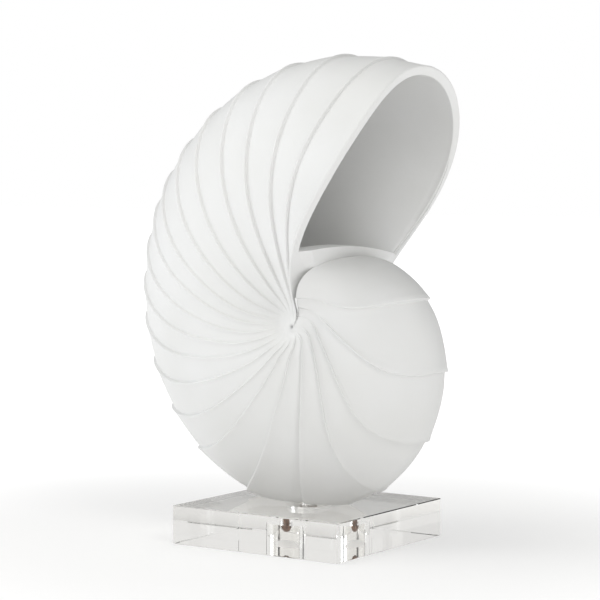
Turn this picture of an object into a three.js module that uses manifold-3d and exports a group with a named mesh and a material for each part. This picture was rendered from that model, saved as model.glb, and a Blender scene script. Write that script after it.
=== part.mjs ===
// A decorative nautilus: one white cast shell standing on a clear acrylic block and held to it
// by a screw from below. Millimetres, +Z up, standing on z = 0 with the middle of its overall
// box over the origin.
//
// The shell coils in its own XZ plane about an axis along Y, and its mouth opens towards +X and
// up. It is described by growth angle, counted back from the lip of the mouth (0) through one
// full turn to the ball that the mouth opens over. "Venter" is the outer edge of the coil and
// "umbilicus" the hub on each flank. Each rib is the lip of an older mouth.

import * as THREE from 'three';
import { mergeVertices } from 'three/addons/utils/BufferGeometryUtils.js';
import Module from 'manifold-3d';

const wasm = await Module();
wasm.setup();

// ---- Driving dimensions: pieces ----

const TOUCH_GAP = 0.3; // left between pieces that rest on each other

const BASE_SIDE = 152.4;
const BASE_THICKNESS = 30;
const BASE_BEVEL = 0.8;
const COUNTERBORE_RADIUS = 17.5;
const COUNTERBORE_DEPTH = 17;
const SCREW_HOLE_RADIUS = 5.8;

const SCREW_RADIUS = 4;
const SCREW_HEAD_RADIUS = 7;
const SCREW_HEAD_HEIGHT = 7.5;
const SCREW_LENGTH = 30; // under the head
const SCREW_RECESS_WIDTH = 1.6;
const SCREW_RECESS_SPAN = 7;
const SCREW_RECESS_DEPTH = 2.2;

const INSERT_RADIUS = 6.5;
const INSERT_LENGTH = 20;

// ---- Driving dimensions: the coil ----

const COIL_X = 18.5; // the coil's axis, from the middle of the block
const COIL_Y = 3;
const COIL_Z = 170.7;
const COIL_TURN = -3; // degrees about Z, how the casting sits on its block
const LIP_ANGLE = 67.6; // degrees up from +X, where growth angle 0 lies

// Each list runs in even steps of growth from the lip back through one turn.
const VENTER_RADII = [213.8, 184.5, 153.2, 109.3, 57.7];
const SHOULDER_REACH = [0.1, 0.35, 0.1, 0.14, 0.97]; // share of the venter radius
const FLANK_BULGE = [60.0, 33.9, 58.6, 20.9, 56.8]; // flank control, outwards from the umbilicus
const VENTER_ROUNDNESS = [0.46, 0.31, 0.25, 0.32, 0.25]; // share of the venter radius
const UMBILICUS_HALF_WIDTHS = [40, 40, 40];
const UMBILICUS_RADII = [4, 4, 4];
const HUB_HALF_WIDTH = 50; // at the axis itself
const HUB_RADIUS = 24; // within which the flanks level out to the hub

// Forward sweep of a growth line, in degrees: one row for each 150 degrees of growth, in even
// steps from umbilicus to venter
const SWEEP_SPAN = 450;
const SWEEPS = [
    [0, 91.5, 85.2, 82.4, 77.1],
    [0, -46.3, -35.9, -21.1, -2.7],
    [0, 26.7, 50.5, 72.9, 78.8],
    [0, 116.0, 158.8, 176.7, 174.8],
];
const LIP_LEAD = [0, -101.7, -90.7, -80.3, -75.8]; // what the lip itself leads by on top

// Growth angles of the ribs, in degrees
const RIBS = [
    39.2, 45.3, 52.1, 58.5, 65.7, 72.4, 78.7, 84.3, 91.0, 98.5,
    107.1, 118.2, 132.3, 148.6, 177.2, 220.0, 307.1, 395.7, 450.3, 491.4,
];
const RIB_HEIGHT = 1.8;
const RIB_DROP = 0.25; // degrees of growth over which a rib drops to the next band
const RIB_FADE = 0.24; // share of the section over which a rib dies away at the umbilicus
const END_FADE = 12; // degrees of growth over which the last rib dies away at the ball's end
const OLD_PART = 15; // the index of the rib from which the older part of the coil is built
const TUCK = 4; // degrees that the newer part reaches in under the older one
const OLDEST_GROWTH = 361; // where the ball ends, hidden behind the raised floor

// ---- Driving dimensions: the mouth ----

const WALL = 5.7;
const CAVITY_END = 120; // degrees of growth
const CAVITY_ROUNDING = 65; // degrees of growth over which the cavity closes
const CAVITY_MARGIN = 24; // degrees that the cutter reaches out past the lip
const CAVITY_REACH = 0.93; // share of the section, from venter to umbilicus
const LEDGE_ANGLE = 68; // degrees up from +X, the front of the raised floor
const LEDGE_RADIUS = 66.5; // from the coil's axis, at the floor's crest
const LEDGE_CREST = -22; // where the crest runs, across the coil
const LEDGE_FALL = 7; // how far the floor falls over its half width to either side
const LEDGE_END = 230;
const LEDGE_END_RADIUS = 28;
const LEDGE_HALF_WIDTH = 70;

// ---- Mesh resolution ----

const FLANK_STEPS = 15;
const HUB_STEPS = 2;
const BAND_STEPS = [1, 0.75, 0.35, 0];
const CAVITY_STEPS = 15;
const FLOOR_STEPS = 8;
const BALL_STEPS = 8;
const ROUND_STEPS = 40;

const HUB = new THREE.Vector3(0, 0, 0);
const radians = THREE.MathUtils.degToRad;
const mix = THREE.MathUtils.lerp;

// ---- Solids and meshes ----

function solidFrom(geometry) {
    const bare = geometry.index ? geometry.toNonIndexed() : geometry.clone();
    bare.deleteAttribute('normal');
    bare.deleteAttribute('uv');
    const welded = mergeVertices(bare);
    const corners = welded.index.array;
    const kept = [];
    for (let i = 0; i < corners.length; i += 3) {
        const [a, b, c] = [corners[i], corners[i + 1], corners[i + 2]];
        if (a !== b && b !== c && c !== a) kept.push(a, b, c);
    }
    return new wasm.Manifold(new wasm.Mesh({
        numProp: 3,
        vertProperties: new Float32Array(welded.attributes.position.array),
        triVerts: new Uint32Array(kept),
    }));
}

function geometryFrom(solid) {
    const mesh = solid.getMesh();
    const geometry = new THREE.BufferGeometry();
    geometry.setAttribute('position', new THREE.BufferAttribute(mesh.vertProperties, mesh.numProp));
    geometry.setIndex(new THREE.BufferAttribute(mesh.triVerts, 1));
    geometry.computeVertexNormals();
    return geometry;
}

// Leaves out the slivers and pin-hole voids that a cut between near-parallel skins can leave.
function largestBody(solid) {
    return solid.decompose().reduce((best, each) => (each.volume() > best.volume() ? each : best));
}

function block(x, y, z, centre) {
    const geometry = new THREE.BoxGeometry(x, y, z);
    geometry.translate(centre.x, centre.y, centre.z);
    return solidFrom(geometry);
}

function turned(outline) {
    const points = outline.map(([radius, height]) => new THREE.Vector2(radius, height));
    const geometry = new THREE.LatheGeometry(points, ROUND_STEPS);
    geometry.rotateX(Math.PI / 2);
    return solidFrom(geometry);
}

function cylinder(radius, bottom, top) {
    return turned([[0, bottom], [radius, bottom], [radius, top], [0, top]]);
}

// Rows of points, each from one pole to the other, skinned and closed by a fan to the hub at
// either end. All rows share their poles.
function solidBetweenPoles(rows, hub) {
    const corners = [];
    const put = (...points) => points.forEach((p) => corners.push(p.x, p.y, p.z));
    for (let r = 0; r + 1 < rows.length; r += 1) {
        const [here, next] = [rows[r], rows[r + 1]];
        for (let i = 0; i + 1 < here.length; i += 1) {
            put(here[i], here[i + 1], next[i]);
            put(here[i + 1], next[i + 1], next[i]);
        }
    }
    const [first, last] = [rows[0], rows[rows.length - 1]];
    for (let i = 0; i + 1 < first.length; i += 1) {
        put(first[i + 1], first[i], hub);
        put(last[i], last[i + 1], hub);
    }
    return solidFromCorners(corners);
}

// Closed loops of points, skinned into a tube and closed by a fan at either end
function solidThroughLoops(loops) {
    const corners = [];
    const put = (...points) => points.forEach((p) => corners.push(p.x, p.y, p.z));
    const middleOf = (loop) => loop
        .reduce((sum, p) => sum.add(p), new THREE.Vector3())
        .divideScalar(loop.length);
    for (let r = 0; r + 1 < loops.length; r += 1) {
        const [here, next] = [loops[r], loops[r + 1]];
        for (let i = 0; i < here.length; i += 1) {
            const j = (i + 1) % here.length;
            put(here[i], here[j], next[i]);
            put(here[j], next[j], next[i]);
        }
    }
    const [first, last] = [loops[0], loops[loops.length - 1]];
    const [start, end] = [middleOf(first), middleOf(last)];
    for (let i = 0; i < first.length; i += 1) {
        const j = (i + 1) % first.length;
        put(first[j], first[i], start);
        put(last[i], last[j], end);
    }
    return solidFromCorners(corners);
}

function solidFromCorners(corners) {
    const geometry = new THREE.BufferGeometry();
    geometry.setAttribute('position', new THREE.Float32BufferAttribute(corners, 3));
    return solidFrom(geometry);
}

// ---- The coil's surface ----

// The smooth curve through values given at even steps from 0 to 1 (Lagrange's formula)
function through(values, at) {
    const last = values.length - 1;
    return values.reduce((sum, value, i) => {
        let weight = 1;
        for (let j = 0; j <= last; j += 1) {
            if (j !== i) weight *= (at * last - j) / (i - j);
        }
        return sum + weight * value;
    }, 0);
}

const LOG_RADII = VENTER_RADII.map(Math.log);

// A section of the coil at one growth angle: a cubic from venter (share 0) to the umbilicus's
// rim (share 1), moved outwards by "lift" along its own normal
function sectionPoint(growth, share, lift) {
    const turn = growth / 360;
    const radius = Math.exp(through(LOG_RADII, turn));
    const rim = through(UMBILICUS_HALF_WIDTHS, turn);
    const reach = [
        radius,
        radius,
        radius * through(SHOULDER_REACH, turn),
        through(UMBILICUS_RADII, turn),
    ];
    const width = [
        0,
        radius * through(VENTER_ROUNDNESS, turn),
        rim + through(FLANK_BULGE, turn),
        rim,
    ];
    const rest = 1 - share;
    const cubic = (c) => c[0] * rest ** 3 + 3 * c[1] * rest ** 2 * share
        + 3 * c[2] * rest * share ** 2 + c[3] * share ** 3;
    const slope = (c) => (c[1] - c[0]) * rest ** 2 + 2 * (c[2] - c[1]) * rest * share
        + (c[3] - c[2]) * share ** 2;
    const [alongReach, alongWidth] = [slope(reach), slope(width)];
    const length = Math.hypot(alongReach, alongWidth);
    return {
        reach: cubic(reach) + lift * alongWidth / length,
        width: cubic(width) - lift * alongReach / length,
    };
}

// How far the growth line through "growth" is swept forward at a share of its section
function sweepOf(growth, share) {
    const height = 1 - share ** 2;
    const sweep = through(SWEEPS.map((line) => through(line, height)), growth / SWEEP_SPAN);
    const lead = THREE.MathUtils.clamp(1 - growth / RIBS[0], 0, 1);
    return sweep + lead * through(LIP_LEAD, height);
}

function placed(growth, reach, y) {
    const angle = radians(LIP_ANGLE + growth);
    return new THREE.Vector3(reach * Math.cos(angle), y, reach * Math.sin(angle));
}

// The far half of a line mirrors its near half; the point on the venter is shared.
function withFarHalf(near) {
    const far = near.slice(0, -1).reverse();
    return [...near, ...far.map((p) => new THREE.Vector3(p.x, -p.y, p.z))];
}

// One growth line over the whole section, from the near pole over the venter to the far pole.
// "retreat" moves it from its swept line towards the flat, hidden end of the ball.
function growthLine(growth, lift, retreat = 0) {
    const near = [];
    for (let i = 0; i <= HUB_STEPS + FLANK_STEPS; i += 1) {
        const share = Math.min((HUB_STEPS + FLANK_STEPS - i) / FLANK_STEPS, 1);
        const swept = Math.min(growth - sweepOf(growth, share), OLDEST_GROWTH);
        const back = mix(swept, OLDEST_GROWTH, retreat);
        const fade = THREE.MathUtils.smoothstep(1 - share, 0, RIB_FADE)
            * THREE.MathUtils.smoothstep(OLDEST_GROWTH - back, 0, END_FADE);
        const point = sectionPoint(back, share, lift > 0 ? lift * fade : lift);
        const reach = point.reach * Math.min(i / HUB_STEPS, 1);
        const ease = THREE.MathUtils.smoothstep(reach, 0, HUB_RADIUS);
        near.push(placed(back, reach, -mix(HUB_HALF_WIDTH, point.width, ease)));
    }
    return withFarHalf(near);
}

// How proud a band stands: level where it starts, flaring to the rib at its newer edge
function flare(share) {
    return RIB_HEIGHT * (0.35 * share + 0.65 * share ** 5);
}

function bands(edges) {
    const rows = [];
    for (let i = 0; i + 1 < edges.length; i += 1) {
        const newer = edges[i] + (i > 0 ? RIB_DROP / 2 : 0);
        const older = edges[i + 1] - RIB_DROP / 2;
        BAND_STEPS.forEach((share) => rows.push(growthLine(mix(older, newer, share), flare(share))));
    }
    return rows;
}

function newerPart() {
    const rows = bands([0, ...RIBS.slice(0, OLD_PART + 1)]);
    rows.push(growthLine(RIBS[OLD_PART] + TUCK, -RIB_HEIGHT));
    return solidBetweenPoles(rows, HUB);
}

function olderPart() {
    const rows = bands(RIBS.slice(OLD_PART));
    const oldest = RIBS[RIBS.length - 1] + RIB_DROP / 2;
    for (let i = 0; i <= BALL_STEPS; i += 1) {
        rows.push(growthLine(oldest, flare(1 - i / BALL_STEPS), i / BALL_STEPS));
    }
    return solidBetweenPoles(rows, HUB);
}

// The hollow that the mouth opens into, one loop for each growth line
function cavity() {
    const loops = [];
    for (let i = 0; i <= CAVITY_STEPS; i += 1) {
        const growth = mix(-CAVITY_MARGIN, CAVITY_END - 1, i / CAVITY_STEPS);
        const closing = Math.max(0, growth - CAVITY_END + CAVITY_ROUNDING) / CAVITY_ROUNDING;
        const scale = Math.sqrt(1 - closing ** 2);
        const wall = [];
        for (let k = FLANK_STEPS; k >= 0; k -= 1) {
            const share = CAVITY_REACH * k / FLANK_STEPS;
            const back = growth - sweepOf(Math.max(growth, 0), share);
            const point = sectionPoint(back, share, -WALL);
            wall.push(placed(back, point.reach, -point.width));
        }
        const loop = withFarHalf(wall);
        const [from, to] = [loop[loop.length - 1], loop[0]];
        for (let k = 1; k < FLOOR_STEPS; k += 1) loop.push(from.clone().lerp(to, k / FLOOR_STEPS));
        const middle = wall[wall.length - 1].clone().add(wall[0]).multiplyScalar(0.5).setY(0);
        loops.push(loop.map((p) => p.clone().sub(middle).multiplyScalar(scale).add(middle)));
    }
    return solidThroughLoops(loops);
}

// What is left standing in the hollow: a raised floor that meets the ball in a ledge
function raisedFloor() {
    const rows = [];
    for (let i = 0; i <= FLOOR_STEPS; i += 1) {
        const share = i / FLOOR_STEPS;
        const growth = mix(LEDGE_ANGLE, LEDGE_END, share) - LIP_ANGLE;
        const row = [new THREE.Vector3(0, -2 * LEDGE_HALF_WIDTH, 0)];
        for (let k = -FLOOR_STEPS; k <= FLOOR_STEPS; k += 1) {
            const across = 1.4 * k / FLOOR_STEPS;
            const fall = LEDGE_FALL * (across - LEDGE_CREST / LEDGE_HALF_WIDTH) ** 2;
            const radius = mix(LEDGE_RADIUS, LEDGE_END_RADIUS, share) - fall;
            row.push(placed(growth, radius, across * LEDGE_HALF_WIDTH));
        }
        row.push(new THREE.Vector3(0, 2 * LEDGE_HALF_WIDTH, 0));
        rows.push(row);
    }
    return solidBetweenPoles(rows, HUB);
}

// ---- Pieces ----

const FOOT = BASE_THICKNESS + TOUCH_GAP;

function nautilusShell() {
    const hollow = cavity().subtract(raisedFloor());
    const coil = newerPart().subtract(hollow).add(olderPart())
        .rotate([0, 0, COIL_TURN])
        .translate([COIL_X, COIL_Y, COIL_Z]);
    const below = block(400, 400, FOOT, new THREE.Vector3(0, 0, FOOT / 2));
    const pocket = cylinder(INSERT_RADIUS + TOUCH_GAP, FOOT - 1, FOOT + INSERT_LENGTH + TOUCH_GAP);
    const screwEnd = cylinder(SCREW_RADIUS + TOUCH_GAP, FOOT - 1, SCREW_TOP + 1);
    return largestBody(coil.subtract(below).subtract(pocket).subtract(screwEnd));
}

const SCREW_SEAT = COUNTERBORE_DEPTH - TOUCH_GAP;
const SCREW_TOP = SCREW_SEAT + SCREW_LENGTH;

function acrylicBase() {
    const side = BASE_SIDE / 2;
    const inner = side - BASE_BEVEL;
    const shape = new THREE.Shape();
    shape.moveTo(-inner, -inner);
    shape.lineTo(inner, -inner);
    shape.lineTo(inner, inner);
    shape.lineTo(-inner, inner);
    const geometry = new THREE.ExtrudeGeometry(shape, {
        depth: BASE_THICKNESS - 2 * BASE_BEVEL,
        bevelThickness: BASE_BEVEL,
        bevelSize: BASE_BEVEL,
        bevelSegments: 1,
    });
    geometry.translate(0, 0, BASE_BEVEL);
    const counterbore = cylinder(COUNTERBORE_RADIUS, -1, COUNTERBORE_DEPTH);
    const hole = cylinder(SCREW_HOLE_RADIUS, 0, BASE_THICKNESS + 1);
    return solidFrom(geometry).subtract(counterbore).subtract(hole);
}

function fixingScrew() {
    const head = SCREW_SEAT - SCREW_HEAD_HEIGHT;
    const dome = [];
    const domeSteps = 6;
    for (let i = 0; i <= domeSteps; i += 1) {
        const angle = i / domeSteps * Math.PI / 2;
        const height = SCREW_SEAT - 1 - (SCREW_HEAD_HEIGHT - 1) * Math.cos(angle);
        dome.push([SCREW_HEAD_RADIUS * Math.sin(angle), height]);
    }
    const body = turned([
        ...dome,
        [SCREW_HEAD_RADIUS, SCREW_SEAT],
        [SCREW_RADIUS, SCREW_SEAT],
        [SCREW_RADIUS, SCREW_TOP - 1],
        [SCREW_RADIUS - 1, SCREW_TOP],
        [0, SCREW_TOP],
    ]);
    const recess = new THREE.Vector3(0, 0, head + SCREW_RECESS_DEPTH / 2 - 1);
    const tall = SCREW_RECESS_DEPTH + 2;
    return body
        .subtract(block(SCREW_RECESS_SPAN, SCREW_RECESS_WIDTH, tall, recess))
        .subtract(block(SCREW_RECESS_WIDTH, SCREW_RECESS_SPAN, tall, recess));
}

function threadedInsert() {
    const inner = SCREW_RADIUS + TOUCH_GAP;
    const [bottom, top] = [FOOT + TOUCH_GAP, FOOT + INSERT_LENGTH];
    return turned([[inner, bottom], [INSERT_RADIUS, bottom], [INSERT_RADIUS, top], [inner, top], [inner, bottom]]);
}

function piece(name, solid, look) {
    const mesh = new THREE.Mesh(geometryFrom(solid), new THREE.MeshStandardMaterial(look));
    mesh.name = name;
    return mesh;
}

const object = new THREE.Group();
object.add(
    piece('nautilus_shell', nautilusShell(), { color: 0xececea, roughness: 0.55, metalness: 0 }),
    piece('acrylic_base', acrylicBase(), { color: 0xf4f4f0, roughness: 0.05, metalness: 0 }),
    piece('fixing_screw', fixingScrew(), { color: 0x8a5a33, roughness: 0.4, metalness: 1 }),
    piece('threaded_insert', threadedInsert(), { color: 0xc9a455, roughness: 0.35, metalness: 1 }),
);

// The middle of the overall box stands over the origin.
const middle = new THREE.Box3().setFromObject(object).getCenter(new THREE.Vector3());
object.position.set(-middle.x, -middle.y, 0);

export default object;
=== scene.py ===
import math

import bmesh
import bpy
import numpy as np
from mathutils import Matrix, Vector


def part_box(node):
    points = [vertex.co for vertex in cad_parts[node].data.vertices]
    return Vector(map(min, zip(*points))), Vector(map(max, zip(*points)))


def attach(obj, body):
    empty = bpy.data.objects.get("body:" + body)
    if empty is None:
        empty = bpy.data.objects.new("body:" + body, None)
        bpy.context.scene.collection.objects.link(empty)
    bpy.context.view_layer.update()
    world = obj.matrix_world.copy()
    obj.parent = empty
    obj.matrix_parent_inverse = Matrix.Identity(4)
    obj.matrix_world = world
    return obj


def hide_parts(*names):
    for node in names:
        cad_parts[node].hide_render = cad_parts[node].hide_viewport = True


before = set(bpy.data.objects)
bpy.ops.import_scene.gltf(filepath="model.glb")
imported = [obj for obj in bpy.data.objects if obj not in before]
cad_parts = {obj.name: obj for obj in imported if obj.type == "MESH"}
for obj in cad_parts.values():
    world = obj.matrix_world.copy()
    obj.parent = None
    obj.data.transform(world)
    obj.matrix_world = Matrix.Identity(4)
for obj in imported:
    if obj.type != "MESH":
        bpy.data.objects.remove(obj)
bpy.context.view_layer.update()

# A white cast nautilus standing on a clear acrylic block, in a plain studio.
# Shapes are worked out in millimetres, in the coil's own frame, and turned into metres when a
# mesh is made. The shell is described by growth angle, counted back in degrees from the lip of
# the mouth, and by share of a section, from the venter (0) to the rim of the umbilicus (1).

MM = 0.001

# ---- Driving dimensions: the pieces ----

TOUCH_GAP = 0.3
BASE_BEVEL = 0.6
COUNTERBORE_RADIUS = 17.5
COUNTERBORE_DEPTH = 17
SCREW_HOLE_RADIUS = 5.8
SCREW_RADIUS = 4
SCREW_PITCH = 1.25
SCREW_THREAD_DEPTH = 0.6
SCREW_PLAIN_LENGTH = 11
SCREW_HEAD_RADIUS = 7
SCREW_HEAD_HEIGHT = 7.5
SCREW_LENGTH = 30
SCREW_RECESS = (1.6, 7, 2.2)  # width, span and depth of each slot of the cross
INSERT_RADIUS = 6.5
INSERT_LENGTH = 20
INSERT_KNURLS = 36
INSERT_KNURL_DEPTH = 0.35

# ---- The coil ----
# COIL_X, COIL_Z, LIP_ANGLE, RIBS and the lists, except the umbilicus's, are coefficients found by
# fitting the coil's surface. They were not chosen one by one, and some have no meaning on their own.

COIL_X = 18.5
COIL_Y = 3
COIL_Z = 170.7
COIL_TURN = -3
LIP_ANGLE = 67.6

VENTER_RADII = (213.8, 184.5, 153.2, 109.3, 57.7)
SHOULDER_REACH = (0.1, 0.35, 0.1, 0.14, 0.97)
FLANK_BULGE = (60.0, 33.9, 58.6, 20.9, 56.8)
VENTER_ROUNDNESS = (0.46, 0.31, 0.25, 0.32, 0.25)
UMBILICUS_HALF_WIDTHS = (40, 40, 40)
UMBILICUS_RADII = (4, 4, 4)
HUB_HALF_WIDTH = 50
HUB_RADIUS = 24

# Degrees, one row for each 150 degrees of growth, from umbilicus to venter
SWEEP_SPAN = 450
SWEEPS = (
    (0, 91.5, 85.2, 82.4, 77.1),
    (0, -46.3, -35.9, -21.1, -2.7),
    (0, 26.7, 50.5, 72.9, 78.8),
    (0, 116.0, 158.8, 176.7, 174.8),
)
LIP_LEAD = (0, -101.7, -90.7, -80.3, -75.8)

RIBS = (39.2, 45.3, 52.1, 58.5, 65.7, 72.4, 78.7, 84.3, 91.0, 98.5,
        107.1, 118.2, 132.3, 148.6, 177.2, 220.0, 307.1, 395.7, 450.3, 491.4)
RIB_HEIGHT = 2.2
RIB_FADE = 0.24
END_FADE = 12
OLD_PART = 15
TUCK = 4
OLDEST_GROWTH = 361

# A rib's face, from the crest of the older band down to the newer one: millimetres ahead of
# the growth line, and share of the rib's height
RIB_FACE = ((-1.1, 1.0), (-0.6, 0.97), (-0.25, 0.84), (0, 0.6), (0.2, 0.32), (0.45, 0.1), (0.8, 0))

# ---- Driving dimensions: the mouth ----

WALL = 5.7
RIM_ROUND = 1.3
CAVITY_END = 120
CAVITY_ROUNDING = 65
CAVITY_MARGIN = 24
CAVITY_REACH = 0.93
LEDGE_ANGLE = 68
LEDGE_RADIUS = 66.5
LEDGE_CREST = -22
LEDGE_FALL = 7
LEDGE_END = 230
LEDGE_END_RADIUS = 28
LEDGE_HALF_WIDTH = 70

# ---- Mesh resolution ----

FLANK_STEPS = 64
HUB_STEPS = 8
BAND_STEPS = 9
BALL_STEPS = 16
RIM_STEPS = 5
CAVITY_STEPS = 72
FLOOR_STEPS = 24
ROUND_STEPS = 96

HUB = np.zeros(3)


# ---- Mesh helpers ----

def mesh_object(name, points, faces):
    """A mesh object from points in millimetres."""
    mesh = bpy.data.meshes.new(name)
    mesh.from_pydata([tuple(p) for p in np.asarray(points) * MM], [], faces)
    mesh.validate()
    piece = bpy.data.objects.new(name, mesh)
    bpy.context.scene.collection.objects.link(piece)
    return piece


def smooth_by_angle(piece, degrees):
    mesh = piece.data
    mesh.shade_smooth()
    mesh.set_sharp_from_angle(angle=math.radians(degrees))


def combine(piece, tool, operation):
    """Joins or cuts piece by tool, and deletes tool."""
    step = piece.modifiers.new(operation, "BOOLEAN")
    step.operation = operation
    step.object = tool
    step.solver = "MANIFOLD"
    depsgraph = bpy.context.evaluated_depsgraph_get()
    result = bpy.data.meshes.new_from_object(piece.evaluated_get(depsgraph))
    piece.modifiers.clear()
    piece.data = result
    bpy.data.objects.remove(tool)
    return piece


def skin_between_poles(name, rows):
    """Rows of points that all start and end at the same two poles, skinned, and closed by a fan
    to the hub at either end."""
    rows = np.asarray(rows)
    count, across = len(rows), rows.shape[1] - 2
    inner = rows[:, 1:-1].reshape(-1, 3)
    near, far, hub = (len(inner) + k for k in range(3))
    points = np.vstack([inner, rows[0, 0], rows[0, -1], HUB])

    def at(row, column):
        if column < 0:
            return near
        if column >= across:
            return far
        return row * across + column

    faces = []
    for r in range(count - 1):
        for c in range(-1, across):
            quad = (at(r, c), at(r, c + 1), at(r + 1, c + 1), at(r + 1, c))
            faces.append(tuple(dict.fromkeys(quad)))
    for c in range(-1, across):
        faces.append((at(0, c + 1), at(0, c), hub))
        faces.append((at(count - 1, c), at(count - 1, c + 1), hub))
    return mesh_object(name, points, faces)


def skin_through_loops(name, loops):
    loops = np.asarray(loops)
    count, around = loops.shape[:2]
    points = np.vstack([loops.reshape(-1, 3), loops[0].mean(0), loops[-1].mean(0)])
    start, end = count * around, count * around + 1
    faces = []
    for i in range(around):
        j = (i + 1) % around
        for r in range(count - 1):
            a, b = r * around, (r + 1) * around
            faces.append((a + i, a + j, b + j, b + i))
        last = (count - 1) * around
        faces.append((j, i, start))
        faces.append((last + i, last + j, end))
    return mesh_object(name, points, faces)


def turned(name, outline, centre):
    """A solid of revolution about +Z through centre, from an outline of (radius, height) that
    starts and ends on the axis."""
    angles = np.arange(ROUND_STEPS) * 2 * math.pi / ROUND_STEPS
    ring = np.column_stack([np.cos(angles), np.sin(angles), np.zeros(ROUND_STEPS)])
    body = outline[1:-1]
    points = [ring * radius + (0, 0, height) for radius, height in body]
    points = np.vstack(points + [(0, 0, outline[0][1]), (0, 0, outline[-1][1])]) + centre
    start, end = len(points) - 2, len(points) - 1
    faces = []
    for i in range(ROUND_STEPS):
        j = (i + 1) % ROUND_STEPS
        for r in range(len(body) - 1):
            a, b = r * ROUND_STEPS, (r + 1) * ROUND_STEPS
            faces.append((a + i, a + j, b + j, b + i))
        last = (len(body) - 1) * ROUND_STEPS
        faces.append((start, j, i))
        faces.append((last + i, last + j, end))
    return mesh_object(name, points, faces)


def block(name, low, high, bevel=0):
    work = bmesh.new()
    bmesh.ops.create_cube(work, size=1)
    low, high = Vector(low), Vector(high)
    bmesh.ops.scale(work, vec=(high - low) * MM, verts=work.verts)
    bmesh.ops.translate(work, vec=(high + low) / 2 * MM, verts=work.verts)
    if bevel:
        bmesh.ops.bevel(work, geom=work.edges, offset=bevel * MM, segments=1, affect="EDGES")
    mesh = bpy.data.meshes.new(name)
    work.to_mesh(mesh)
    work.free()
    piece = bpy.data.objects.new(name, mesh)
    bpy.context.scene.collection.objects.link(piece)
    return piece


def finish_piece(piece, replaced, material, crease):
    smooth_by_angle(piece, crease)
    piece.data.materials.clear()
    piece.data.materials.append(material)
    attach(piece, "root")
    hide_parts(replaced)
    return piece


# ---- The coil's surface ----

def through(values, at):
    """The smooth curve through values given at even steps from 0 to 1 (Lagrange's formula)."""
    last = len(values) - 1
    at = np.asarray(at, float) * last
    total = 0
    for i, value in enumerate(values):
        weight = 1
        for j in range(last + 1):
            if j != i:
                weight = weight * (at - j) / (i - j)
        total = total + weight * value
    return total


def smoothstep(at):
    at = np.clip(at, 0, 1)
    return at * at * (3 - 2 * at)


def section(growth, share, lift):
    """Reach from the coil's axis and half width, moved outwards by lift along the normal."""
    turn = growth / 360
    radius = np.exp(through(np.log(VENTER_RADII), turn))
    rim = through(UMBILICUS_HALF_WIDTHS, turn)
    reach = (radius, radius, radius * through(SHOULDER_REACH, turn), through(UMBILICUS_RADII, turn))
    width = (0 * radius, radius * through(VENTER_ROUNDNESS, turn),
             rim + through(FLANK_BULGE, turn), rim)
    rest = 1 - share

    def cubic(c):
        return (c[0] * rest ** 3 + 3 * c[1] * rest ** 2 * share
                + 3 * c[2] * rest * share ** 2 + c[3] * share ** 3)

    def slope(c):
        return ((c[1] - c[0]) * rest ** 2 + 2 * (c[2] - c[1]) * rest * share
                + (c[3] - c[2]) * share ** 2)

    along_reach, along_width = slope(reach), slope(width)
    length = np.hypot(along_reach, along_width)
    return cubic(reach) + lift * along_width / length, cubic(width) - lift * along_reach / length


def sweep_of(growth, share):
    height = 1 - share ** 2
    sweep = through([through(line, height) for line in SWEEPS], growth / SWEEP_SPAN)
    lead = np.clip(1 - growth / RIBS[0], 0, 1)
    return sweep + lead * through(LIP_LEAD, height)


def placed(growth, reach, y):
    angle = np.radians(LIP_ANGLE + growth)
    return np.column_stack([reach * np.cos(angle), y, reach * np.sin(angle)])


def with_far_half(near):
    return np.vstack([near, near[-2::-1] * (1, -1, 1)])


LINE_SHARES = np.concatenate([np.ones(HUB_STEPS), np.linspace(1, 0, FLANK_STEPS + 1)])
LINE_REST = np.concatenate([np.arange(HUB_STEPS) / HUB_STEPS, np.ones(FLANK_STEPS + 1)])


def waviness(growth, share):
    """The faint unevenness of a hand-finished casting, in millimetres."""
    angle = np.radians(growth)
    return (0.10 * np.sin(7.3 * angle + 5.1 * share) * np.sin(9.7 * share + 2.3 * angle)
            + 0.06 * np.sin(17 * angle - 13 * share + 1.0) * np.sin(23 * share + 0.5))


def growth_line(growth, lift, ahead=0, retreat=0):
    """One growth line over the whole section, from the near pole to the far pole. It stands
    lift proud of the section and runs "ahead" millimetres nearer the lip."""
    share = LINE_SHARES
    swept = np.minimum(growth - sweep_of(growth, share), OLDEST_GROWTH)
    back = swept + (OLDEST_GROWTH - swept) * retreat
    fade = smoothstep((1 - share) / RIB_FADE) * smoothstep((OLDEST_GROWTH - back) / END_FADE)
    proud = lift * fade if lift > 0 else lift
    proud = proud + waviness(back, share) * fade
    reach, width = section(back, share, proud)
    forward = np.degrees(ahead / np.maximum(reach, UMBILICUS_RADII[-1]))
    reach = reach * LINE_REST
    width = HUB_HALF_WIDTH + (width - HUB_HALF_WIDTH) * smoothstep(reach / HUB_RADIUS)
    return with_far_half(placed(back - forward, reach, -width))


def flare(share):
    return RIB_HEIGHT * (0.35 * share + 0.65 * share ** 5)


def band_rows(newer, older, first=False):
    """Rows from the newer edge of a band to its older edge. The band flares from 0 at its older
    edge to a rib at its newer edge, then drops over the rib's face."""
    rows = []
    if first:
        for i in range(RIM_STEPS + 1):
            turn = math.pi / 2 * i / RIM_STEPS
            drop = RIM_ROUND * (1 - math.sin(turn))
            rows.append(growth_line(newer, RIB_HEIGHT - drop, -RIM_ROUND * (1 - math.cos(turn))))
    else:
        for ahead, share in reversed(RIB_FACE):
            rows.append(growth_line(newer, RIB_HEIGHT * share, ahead))
    for i in range(1, BAND_STEPS):
        share = (1 - i / BAND_STEPS) ** 0.8
        rows.append(growth_line(older + (newer - older) * share, flare(share)))
    return rows


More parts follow.
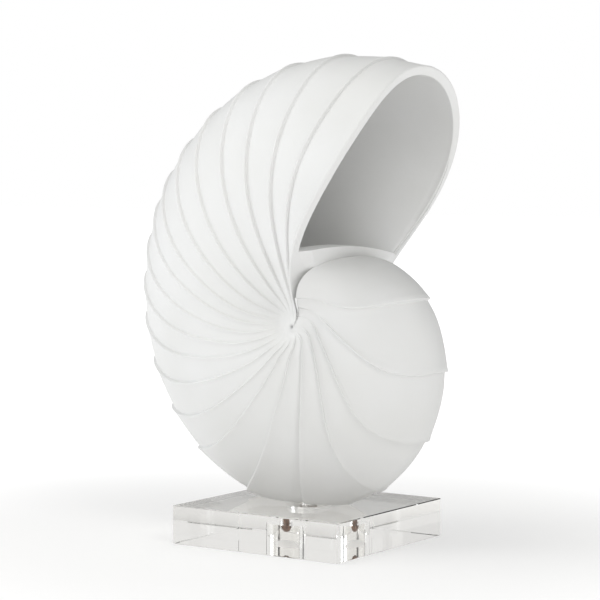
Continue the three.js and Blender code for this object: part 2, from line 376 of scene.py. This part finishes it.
def newer_part():
    edges = (0, *RIBS[:OLD_PART + 1])
    rows = []
    for i in range(len(edges) - 1):
        rows += band_rows(edges[i], edges[i + 1], first=i == 0)
    rows.append(growth_line(edges[-1] + TUCK, -RIB_HEIGHT))
    return skin_between_poles("newer_part", rows)


def older_part():
    edges = RIBS[OLD_PART:]
    rows = []
    for i in range(len(edges) - 1):
        rows += band_rows(edges[i], edges[i + 1])
    last = RIBS[-1]
    for ahead, share in reversed(RIB_FACE):
        rows.append(growth_line(last, RIB_HEIGHT * share, ahead))
    for i in range(1, BALL_STEPS + 1):
        rows.append(growth_line(last, flare(1 - i / BALL_STEPS), 0, i / BALL_STEPS))
    return skin_between_poles("older_part", rows)


def cavity():
    """The hollow that the mouth opens into. It widens over the last millimetre before the lip,
    which rounds the rim's inner edge."""
    ahead = -RIM_ROUND * np.cos(np.linspace(0, math.pi / 2, RIM_STEPS + 1))
    rims = [(0, a, -WALL + RIM_ROUND - math.sqrt(max(RIM_ROUND ** 2 - (a + RIM_ROUND) ** 2, 0)))
            for a in ahead]
    rows = [(-CAVITY_MARGIN, 0, -WALL + RIM_ROUND), (0, 0.6, -WALL + RIM_ROUND)]
    rows += reversed(rims)
    rows += [(CAVITY_END * (i / CAVITY_STEPS), 0, -WALL) for i in range(2, CAVITY_STEPS)]
    loops = []
    for growth, forward, lift in rows:
        closing = max(0, growth - CAVITY_END + CAVITY_ROUNDING) / CAVITY_ROUNDING
        scale = math.sqrt(1 - closing ** 2)
        share = CAVITY_REACH * np.linspace(1, 0, FLANK_STEPS + 1)
        back = growth - sweep_of(max(growth, 0), share)
        reach, width = section(back, share, lift)
        turn = np.degrees(forward / reach)
        near = placed(back - turn, reach, -width)
        loop = with_far_half(near)
        chord = np.linspace(loop[-1], loop[0], FLOOR_STEPS + 1)[1:-1]
        middle = (near[0] + near[-1]) / 2 * (1, 0, 1)
        loops.append((np.vstack([loop, chord]) - middle) * scale + middle)
    return skin_through_loops("cavity", loops)


def raised_floor():
    rows = []
    for share in np.linspace(0, 1, FLOOR_STEPS + 1):
        growth = LEDGE_ANGLE + (LEDGE_END - LEDGE_ANGLE) * share - LIP_ANGLE
        across = np.linspace(-1.4, 1.4, 2 * FLOOR_STEPS + 1)
        fall = LEDGE_FALL * (across - LEDGE_CREST / LEDGE_HALF_WIDTH) ** 2
        radius = LEDGE_RADIUS + (LEDGE_END_RADIUS - LEDGE_RADIUS) * share - fall
        row = placed(np.full(across.shape, growth), radius, across * LEDGE_HALF_WIDTH)
        rows.append(np.vstack([(0, -2 * LEDGE_HALF_WIDTH, 0), row, (0, 2 * LEDGE_HALF_WIDTH, 0)]))
    return skin_between_poles("raised_floor", rows)


# ---- Materials ----

def new_material(name):
    material = bpy.data.materials.new(name)
    material.use_nodes = True
    nodes = material.node_tree.nodes
    return material, nodes, material.node_tree.links, nodes["Principled BSDF"]


def noise(nodes, links, coordinates, scale, detail=4, roughness=0.5, stretch=(1, 1, 1)):
    mapping = nodes.new("ShaderNodeMapping")
    mapping.inputs["Scale"].default_value = stretch
    links.new(coordinates, mapping.inputs["Vector"])
    texture = nodes.new("ShaderNodeTexNoise")
    texture.inputs["Scale"].default_value = scale
    texture.inputs["Detail"].default_value = detail
    texture.inputs["Roughness"].default_value = roughness
    links.new(mapping.outputs["Vector"], texture.inputs["Vector"])
    return texture.outputs["Fac"]


def ramp(nodes, links, factor, stops):
    node = nodes.new("ShaderNodeValToRGB")
    elements = node.color_ramp.elements
    while len(elements) < len(stops):
        elements.new(0.5)
    for element, (position, colour) in zip(elements, stops):
        element.position = position
        element.color = (*colour, 1)
    links.new(factor, node.inputs["Fac"])
    return node.outputs["Color"]


def spread(nodes, links, factor, low, high):
    node = nodes.new("ShaderNodeMapRange")
    node.inputs["To Min"].default_value = low
    node.inputs["To Max"].default_value = high
    links.new(factor, node.inputs["Value"])
    return node.outputs["Result"]


def bump(nodes, links, height, distance, strength=1.0, normal=None):
    node = nodes.new("ShaderNodeBump")
    node.inputs["Distance"].default_value = distance * MM
    node.inputs["Strength"].default_value = strength
    links.new(height, node.inputs["Height"])
    if normal is not None:
        links.new(normal, node.inputs["Normal"])
    return node.outputs["Normal"]


def cast_white():
    """Matte white paint, brushed over a sanded casting."""
    material, nodes, links, shader = new_material("cast_white")
    place = nodes.new("ShaderNodeTexCoord").outputs["Object"]
    cloudy = noise(nodes, links, place, 14, 3)
    links.new(ramp(nodes, links, cloudy, ((0.3, (0.76, 0.76, 0.745)), (0.7, (0.80, 0.80, 0.795)))),
              shader.inputs["Base Color"])
    satin = noise(nodes, links, place, 60, 4)
    links.new(spread(nodes, links, satin, 0.42, 0.62), shader.inputs["Roughness"])
    sanded = noise(nodes, links, place, 220, 6, 0.6)
    brushed = noise(nodes, links, place, 90, 4, 0.55, (1, 1, 0.25))
    normal = bump(nodes, links, sanded, 0.16, 0.6)
    normal = bump(nodes, links, brushed, 0.28, 0.6, normal)
    links.new(normal, shader.inputs["Normal"])
    shader.inputs["IOR"].default_value = 1.45
    return material


def clear_acrylic():
    material, nodes, links, shader = new_material("clear_acrylic")
    place = nodes.new("ShaderNodeTexCoord").outputs["Object"]
    faint = noise(nodes, links, place, 25, 2)
    # The warm grey tint darkens light at each pass through a face. It is partly the acrylic's own faint
    # colour and partly painted shade for the shaded floor seen through the block.
    links.new(ramp(nodes, links, faint, ((0.2, (0.925, 0.915, 0.89)), (0.8, (0.945, 0.935, 0.91)))),
              shader.inputs["Base Color"])
    links.new(spread(nodes, links, faint, 0.0, 0.012), shader.inputs["Roughness"])
    shader.inputs["IOR"].default_value = 1.49
    shader.inputs["Transmission Weight"].default_value = 1.0
    return material


def metal(name, dark, light, rough):
    material, nodes, links, shader = new_material(name)
    place = nodes.new("ShaderNodeTexCoord").outputs["Object"]
    patina = noise(nodes, links, place, 350, 5, 0.6)
    links.new(ramp(nodes, links, patina, ((0.3, dark), (0.7, light))), shader.inputs["Base Color"])
    links.new(spread(nodes, links, patina, rough, rough + 0.2), shader.inputs["Roughness"])
    links.new(bump(nodes, links, noise(nodes, links, place, 900, 3), 0.03, 0.4),
              shader.inputs["Normal"])
    shader.inputs["Metallic"].default_value = 1.0
    return material


# ---- Pieces ----

BASE_LOW, BASE_HIGH = (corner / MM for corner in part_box("acrylic_base"))
BASE_CENTRE = np.array([(BASE_LOW.x + BASE_HIGH.x) / 2, (BASE_LOW.y + BASE_HIGH.y) / 2, 0])
BASE_THICKNESS = BASE_HIGH.z
FOOT = BASE_THICKNESS + TOUCH_GAP
SCREW_SEAT = COUNTERBORE_DEPTH - TOUCH_GAP
SCREW_TOP = SCREW_SEAT + SCREW_LENGTH


def cylinder(name, radius, bottom, top):
    return turned(name, ((0, bottom), (radius, bottom), (radius, top), (0, top)), BASE_CENTRE)


def nautilus_shell():
    hollow = combine(cavity(), raised_floor(), "DIFFERENCE")
    shell = combine(newer_part(), hollow, "DIFFERENCE")
    shell = combine(shell, older_part(), "UNION")
    turn = Matrix.Rotation(math.radians(COIL_TURN), 4, "Z")
    place = Matrix.Translation((Vector(BASE_CENTRE) + Vector((COIL_X, COIL_Y, COIL_Z))) * MM)
    shell.data.transform(place @ turn)
    combine(shell, block("below", (-400, -400, -400), (400, 400, FOOT)), "DIFFERENCE")
    pocket = cylinder("pocket", INSERT_RADIUS + TOUCH_GAP, FOOT - 1, FOOT + INSERT_LENGTH + TOUCH_GAP)
    combine(shell, pocket, "DIFFERENCE")
    screw_end = cylinder("screw_end", SCREW_RADIUS + TOUCH_GAP, FOOT - 1, SCREW_TOP + 1)
    combine(shell, screw_end, "DIFFERENCE")
    shell.name = "shell_casting"
    return finish_piece(shell, "nautilus_shell", cast_white(), 40)


def acrylic_block():
    piece = block("acrylic_block", BASE_LOW, BASE_HIGH, BASE_BEVEL)
    bore = cylinder("bore", SCREW_HOLE_RADIUS, -1, BASE_THICKNESS + 1)
    counterbore = cylinder("counterbore", COUNTERBORE_RADIUS, -1, COUNTERBORE_DEPTH)
    combine(piece, combine(bore, counterbore, "UNION"), "DIFFERENCE")
    return finish_piece(piece, "acrylic_base", clear_acrylic(), 10)


def fixing_screw():
    """A domed cross-head screw with a real helical thread on its upper length."""
    under = SCREW_SEAT
    dome_edge = under - 1
    outline = []
    for i in range(13):
        angle = math.pi / 2 * i / 12
        outline.append((SCREW_HEAD_RADIUS * math.sin(angle),
                        dome_edge - (SCREW_HEAD_HEIGHT - 1) * math.cos(angle)))
    outline += [(SCREW_HEAD_RADIUS, dome_edge + 0.6), (SCREW_HEAD_RADIUS - 0.4, under)]
    outline += [(SCREW_RADIUS, under)]
    thread_start = under + SCREW_PLAIN_LENGTH
    steps_per_turn = 14
    turns = (SCREW_TOP - 1 - thread_start) / SCREW_PITCH
    for i in range(int(turns * steps_per_turn) + 1):
        outline.append((SCREW_RADIUS, thread_start + i * SCREW_PITCH / steps_per_turn))
    outline += [(SCREW_RADIUS - 1, SCREW_TOP), (0, SCREW_TOP)]
    piece = turned("cross_head_screw", outline, (0, 0, 0))
    points = np.array([v.co for v in piece.data.vertices]) / MM
    angle = np.arctan2(points[:, 1], points[:, 0])
    phase = ((points[:, 2] - thread_start) / SCREW_PITCH + angle / (2 * math.pi)) % 1
    groove = SCREW_THREAD_DEPTH * (1 - np.abs(2 * phase - 1))
    groove *= smoothstep((points[:, 2] - thread_start) / 1.5)
    threaded = (points[:, 2] > thread_start) & (points[:, 2] < SCREW_TOP - 0.01)
    away = np.hypot(points[:, 0], points[:, 1])
    scale = np.where(threaded & (away > 0.1), (away - groove) / np.maximum(away, 0.1), 1)
    points[:, :2] *= scale[:, None]
    points += BASE_CENTRE
    for vertex, point in zip(piece.data.vertices, points * MM):
        vertex.co = point
    width, span, depth = SCREW_RECESS
    lowest = under - SCREW_HEAD_HEIGHT - 1
    for x, y in ((span, width), (width, span)):
        middle = Vector(BASE_CENTRE)
        low = middle + Vector((-x / 2, -y / 2, lowest))
        high = middle + Vector((x / 2, y / 2, lowest + 1 + depth))
        combine(piece, block("slot", low, high), "DIFFERENCE")
    bronzed = metal("bronzed_screw", (0.10, 0.05, 0.03), (0.26, 0.14, 0.085), 0.3)
    return finish_piece(piece, "fixing_screw", bronzed, 30)


def threaded_insert():
    """A knurled brass insert: two knurled collars with a plain waist between them."""
    inner = SCREW_RADIUS + TOUCH_GAP
    bottom, top = FOOT + TOUCH_GAP, FOOT + INSERT_LENGTH
    levels = np.linspace(bottom, top, 41)
    around = INSERT_KNURLS * 6
    angles = np.arange(around) * 2 * math.pi / around
    waist = np.exp(-(((levels - (bottom + top) / 2) / 2.2) ** 4))
    rings = [(np.full(around, inner), bottom)]
    for level, neck in zip(levels, waist):
        knurl = INSERT_KNURL_DEPTH * (0.5 - 0.5 * np.cos(INSERT_KNURLS * angles)) * (1 - neck)
        rings.append((INSERT_RADIUS - 0.9 * neck - knurl, level))
    rings.append((np.full(around, inner), top))
    points = [np.column_stack([r * np.cos(angles), r * np.sin(angles), np.full(around, z)])
              for r, z in rings]
    faces = []
    for r in range(len(rings)):
        a, b = r * around, (r + 1) % len(rings) * around
        for i in range(around):
            j = (i + 1) % around
            faces.append((a + i, a + j, b + j, b + i))
    piece = mesh_object("knurled_insert", np.vstack(points) + BASE_CENTRE, faces)
    brass = metal("insert_brass", (0.55, 0.38, 0.16), (0.75, 0.56, 0.27), 0.25)
    return finish_piece(piece, "threaded_insert", brass, 35)


nautilus_shell()
acrylic_block()
fixing_screw()
threaded_insert()

# ---- Studio ----

CAMERA_AZIMUTH = math.radians(33.76)  # from the front, -Y, towards +X
CAMERA_ELEVATION = math.radians(3.63)
CAMERA_ROLL = math.radians(0.23)
CAMERA_DISTANCE = 1732
CAMERA_AIM = (-6.5, 188.5)  # across and up in the camera's own plane
CAMERA_LENS = 132
FLOOR_SIZE = 9000
FLOOR_GAP = 0.4  # a hair of air under the block, so that it mirrors inside as polished acrylic does
FLOOR_GLOW = 1.25
FLOOR_NEAR = 0.8  # share of the way in from FLOOR_FADE where the floor takes most shadow
FLOOR_SHADED = 0.62  # how much of the floor is lit and shaded there; the rest glows
FLOOR_FADE = 0.7  # metres from the middle of the floor to where it is plain white
WORLD_COLOUR = (0.98, 0.99, 1.0)
WORLD_STRENGTH = 0.36
WORLD_THROUGH_GLASS = 0.75  # how far the world turns white as seen through the block
# name, direction from the object, distance and side in metres, watts, colour
SOFTBOXES = (
    ("overhead", (-0.25, -0.35, 1.0), 2.2, 1.4, 13, (1.0, 0.99, 0.96)),
    ("left", (-1.0, -0.75, 0.3), 2.4, 1.2, 13, (0.93, 0.97, 1.0)),
    ("right", (1.0, -0.45, 0.8), 2.6, 1.0, 14, (1.0, 1.0, 0.97)),
    ("front", (-0.1, -1.0, 0.1), 2.8, 1.6, 11, (1.0, 0.99, 0.97)),
)


def camera():
    back = Vector((math.sin(CAMERA_AZIMUTH) * math.cos(CAMERA_ELEVATION),
                   -math.cos(CAMERA_AZIMUTH) * math.cos(CAMERA_ELEVATION),
                   math.sin(CAMERA_ELEVATION)))
    level = Vector((math.cos(CAMERA_AZIMUTH), math.sin(CAMERA_AZIMUTH), 0))
    rise = back.cross(level)
    right = level * math.cos(CAMERA_ROLL) + rise * math.sin(CAMERA_ROLL)
    up = rise * math.cos(CAMERA_ROLL) - level * math.sin(CAMERA_ROLL)
    place = Vector(BASE_CENTRE) + right * CAMERA_AIM[0] + up * CAMERA_AIM[1] + back * CAMERA_DISTANCE
    lens = bpy.data.cameras.new("camera")
    lens.lens = CAMERA_LENS
    lens.clip_end = 50
    view = bpy.data.objects.new("camera", lens)
    view.matrix_world = Matrix.Translation(place * MM) @ Matrix((right, up, back)).transposed().to_4x4()
    bpy.context.scene.collection.objects.link(view)
    bpy.context.scene.camera = view


def softbox(name, direction, distance, size, power, colour=(1, 1, 1)):
    """A square soft light that looks at the middle of the object."""
    light = bpy.data.lights.new(name, "AREA")
    light.shape = "SQUARE"
    light.size = size
    light.energy = power
    light.color = colour
    lamp = bpy.data.objects.new(name, light)
    target = Vector((0, 0, 0.19))
    towards = Vector(direction).normalized()
    lamp.location = target + towards * distance
    lamp.rotation_euler = towards.to_track_quat("Z", "Y").to_euler()
    bpy.context.scene.collection.objects.link(lamp)


def studio():
    corners = [(x * FLOOR_SIZE, y * FLOOR_SIZE, -FLOOR_GAP) for x, y in
               ((-1, -1), (1, -1), (1, 1), (-1, 1))]
    floor = mesh_object("floor", corners, [(0, 1, 2, 3)])
    material, nodes, links, shader = new_material("floor_white")
    place = nodes.new("ShaderNodeTexCoord").outputs["Object"]
    mottle = noise(nodes, links, place, 3, 2)
    links.new(ramp(nodes, links, mottle, ((0.3, (0.92, 0.915, 0.905)), (0.7, (0.93, 0.925, 0.915)))),
              shader.inputs["Base Color"])
    shader.inputs["Roughness"].default_value = 0.9
    shader.inputs["Specular IOR Level"].default_value = 0.1
    fade = nodes.new("ShaderNodeTexGradient")
    fade.gradient_type = "SPHERICAL"
    reach = nodes.new("ShaderNodeMapping")
    reach.inputs["Scale"].default_value = (1 / FLOOR_FADE,) * 3
    links.new(place, reach.inputs["Vector"])
    links.new(reach.outputs["Vector"], fade.inputs["Vector"])
    glow = nodes.new("ShaderNodeEmission")
    glow.inputs["Strength"].default_value = FLOOR_GLOW
    blend = nodes.new("ShaderNodeMixShader")
    near = nodes.new("ShaderNodeMapRange")
    near.interpolation_type = "SMOOTHSTEP"
    near.inputs["From Max"].default_value = FLOOR_NEAR
    near.inputs["To Max"].default_value = FLOOR_SHADED
    links.new(fade.outputs["Fac"], near.inputs["Value"])
    links.new(near.outputs["Result"], blend.inputs["Fac"])
    links.new(glow.outputs["Emission"], blend.inputs[1])
    links.new(shader.outputs["BSDF"], blend.inputs[2])
    links.new(blend.outputs["Shader"], nodes["Material Output"].inputs["Surface"])
    floor.data.materials.append(material)
    world = bpy.data.worlds.new("studio")
    bpy.context.scene.world = world
    world.use_nodes = True
    sky = world.node_tree.nodes
    ties = world.node_tree.links
    lit, seen = sky["Background"], sky.new("ShaderNodeBackground")
    lit.inputs["Color"].default_value = (*WORLD_COLOUR, 1)
    lit.inputs["Strength"].default_value = WORLD_STRENGTH
    seen.inputs["Color"].default_value = (1, 1, 1, 1)
    chosen = sky.new("ShaderNodeMixShader")
    path = sky.new("ShaderNodeLightPath")
    through_glass = sky.new("ShaderNodeMath")
    through_glass.operation = "MULTIPLY"
    through_glass.inputs[1].default_value = WORLD_THROUGH_GLASS
    ties.new(path.outputs["Is Transmission Ray"], through_glass.inputs[0])
    either = sky.new("ShaderNodeMath")
    either.operation = "MAXIMUM"
    ties.new(path.outputs["Is Camera Ray"], either.inputs[0])
    ties.new(through_glass.outputs["Value"], either.inputs[1])
    ties.new(either.outputs["Value"], chosen.inputs["Fac"])
    ties.new(lit.outputs["Background"], chosen.inputs[1])
    ties.new(seen.outputs["Background"], chosen.inputs[2])
    ties.new(chosen.outputs["Shader"], sky["World Output"].inputs["Surface"])
    for lamp in SOFTBOXES:
        softbox(*lamp)
    bpy.context.scene.view_settings.view_transform = "Standard"


studio()
camera()
